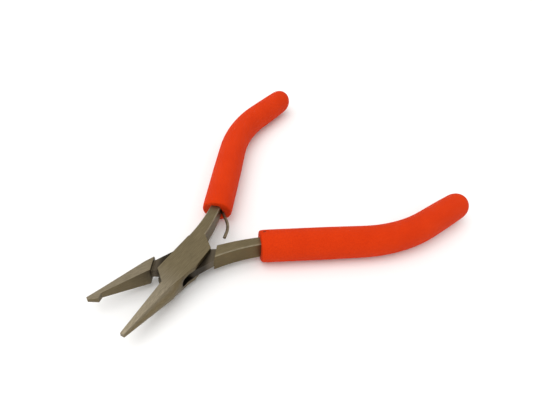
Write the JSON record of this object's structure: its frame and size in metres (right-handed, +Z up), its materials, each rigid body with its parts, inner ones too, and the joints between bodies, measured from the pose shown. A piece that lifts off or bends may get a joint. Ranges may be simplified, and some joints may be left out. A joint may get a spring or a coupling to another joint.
{
  "type": "split ring pliers",
  "caption": "Small split-ring pliers with a box joint, one plain and one hooked tapered jaw, orange sleeve grips and a wire return spring.",
  "frame": {"origin": "on the pivot axis, at the underside of the box joint", "axes": "+X midway between the two handles, from the pivot towards the grips; +Z up, along the pivot; +Y towards the box lever's handle"},
  "size_m": [0.1153, 0.093, 0.0102],
  "materials": {
    "steel": "satin, finely brushed along the levers",
    "spring_wire": "drawn wire, dull",
    "grip": "matt, slightly textured orange"
  },
  "bodies": {
    "box_side": {"box_lever": "steel", "pivot_rivet": "steel", "upper_grip": "grip"},
    "through_side": {"through_lever": "steel", "lower_grip": "grip"},
    "spring": {"return_spring": "spring_wire"}
  },
  "joints": [
    {"name": "pivot", "type": "hinge", "parent": "box_side", "child": "through_side", "pos_m": [0, 0, 0.003], "axis": [0, 0, 1], "range_deg": [-10.3, 26.7]},
    {"name": "spring_bend", "type": "hinge", "parent": "box_side", "child": "spring", "pos_m": [0.0218, 0.00812, 0.003], "axis": [0, 0, 1], "range_deg": [-21.7, 8.4]}
  ],
  "couplings": [
    {"joint": "spring_bend", "follows": "pivot", "ratio": -0.81}
  ]
}
